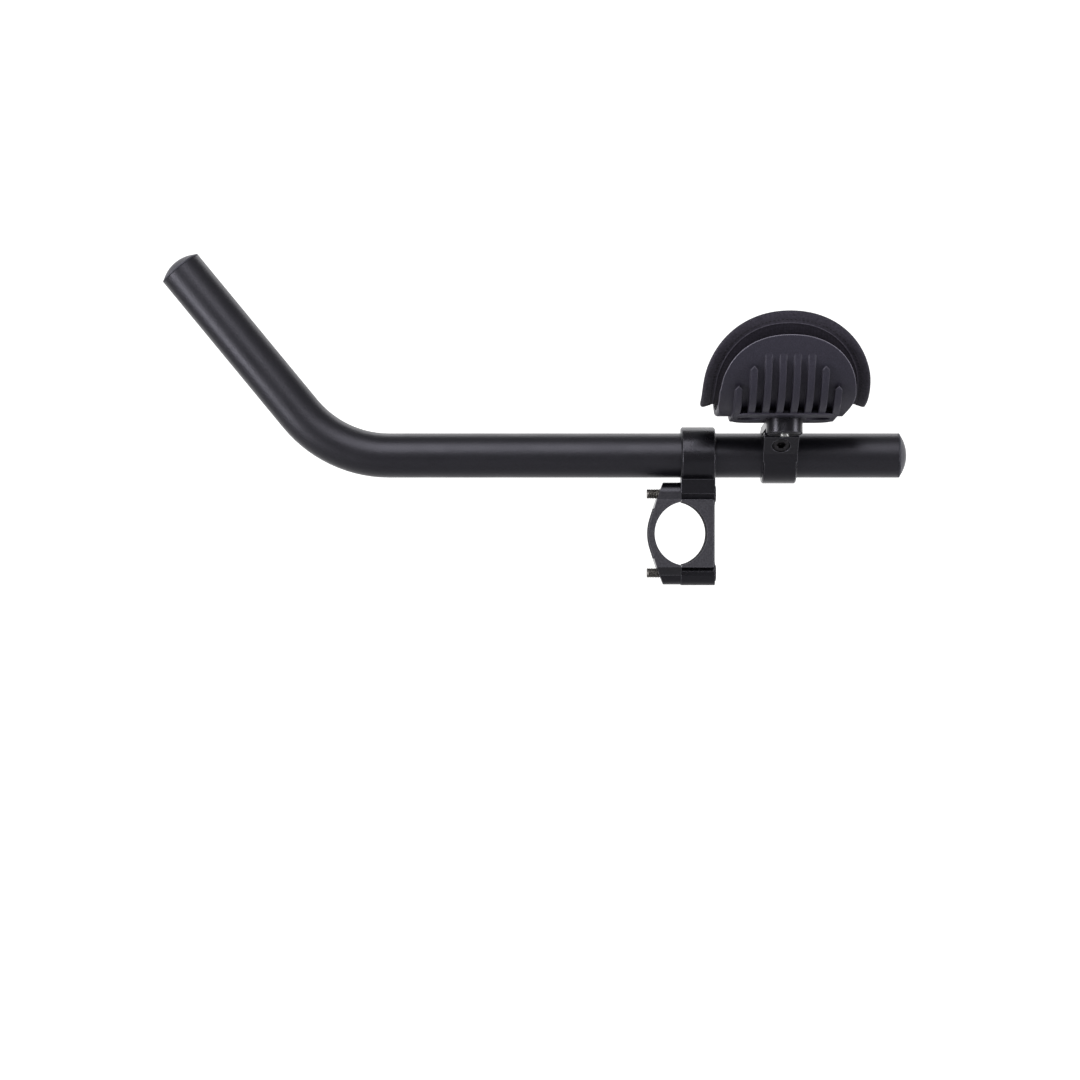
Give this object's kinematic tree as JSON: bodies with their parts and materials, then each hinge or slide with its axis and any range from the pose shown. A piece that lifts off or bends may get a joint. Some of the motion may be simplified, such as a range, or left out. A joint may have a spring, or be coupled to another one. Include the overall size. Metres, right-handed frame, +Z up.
{
  "type": "aero handlebar extension",
  "caption": "Bent tube on a split handlebar clamp, with a strap-mounted ribbed cup and pad that carry the forearm ahead of the bar.",
  "frame": {"origin": "axis of the handlebar as it seats in the bracket body, at the middle of the clamp's width", "axes": "+Y along the handlebar towards the rider's right, -X forward along the extension, +Z up"},
  "size_m": [0.3714, 0.1076, 0.1657],
  "materials": {
    "anodised_tube": "satin black anodised",
    "plug_plastic": "fine matt",
    "blasted_alloy": "blasted, black anodised",
    "black_screw": "black oxide",
    "bright_steel": "plain",
    "cup_plastic": "fine moulded texture",
    "pad_fabric": "knitted cover over foam",
    "hook_tape": "hook tape"
  },
  "bodies": {
    "bracket": {"bracket_body": "blasted_alloy", "upper_clamp_screw": "black_screw", "lower_clamp_screw": "black_screw", "ring_pinch_screw": "black_screw"},
    "cap": {"clamp_cap": "blasted_alloy"},
    "extension": {"extension_tube": "anodised_tube", "front_end_plug": "plug_plastic", "rear_end_plug": "plug_plastic"},
    "strap": {"armrest_bracket": "blasted_alloy", "armrest_pinch_screw": "black_screw"},
    "armrest": {"armrest_cup": "cup_plastic", "cup_washer": "bright_steel", "cup_screw": "bright_steel", "arm_pad": "pad_fabric", "near_hook_patch": "hook_tape", "far_hook_patch": "hook_tape", "floor_hook_patches": "hook_tape"}
  },
  "joints": [
    {"name": "cap_slide", "type": "slide", "parent": "bracket", "child": "cap", "axis": [-1, 0, 0], "range_m": [0, 0.0056]},
    {"name": "extension_slide", "type": "slide", "parent": "bracket", "child": "extension", "axis": [1, 0, 0], "range_m": [-0.01, 0.12]},
    {"name": "armrest_slide", "type": "slide", "parent": "extension", "child": "strap", "axis": [1, 0, 0], "range_m": [-0.01, 0.045]},
    {"name": "armrest_swivel", "type": "hinge", "parent": "strap", "child": "armrest", "pos_m": [0.0518, -0.03791, 0.04165], "axis": [0, 0.0698, 0.9976], "range_deg": [-20, 20]}
  ]
}
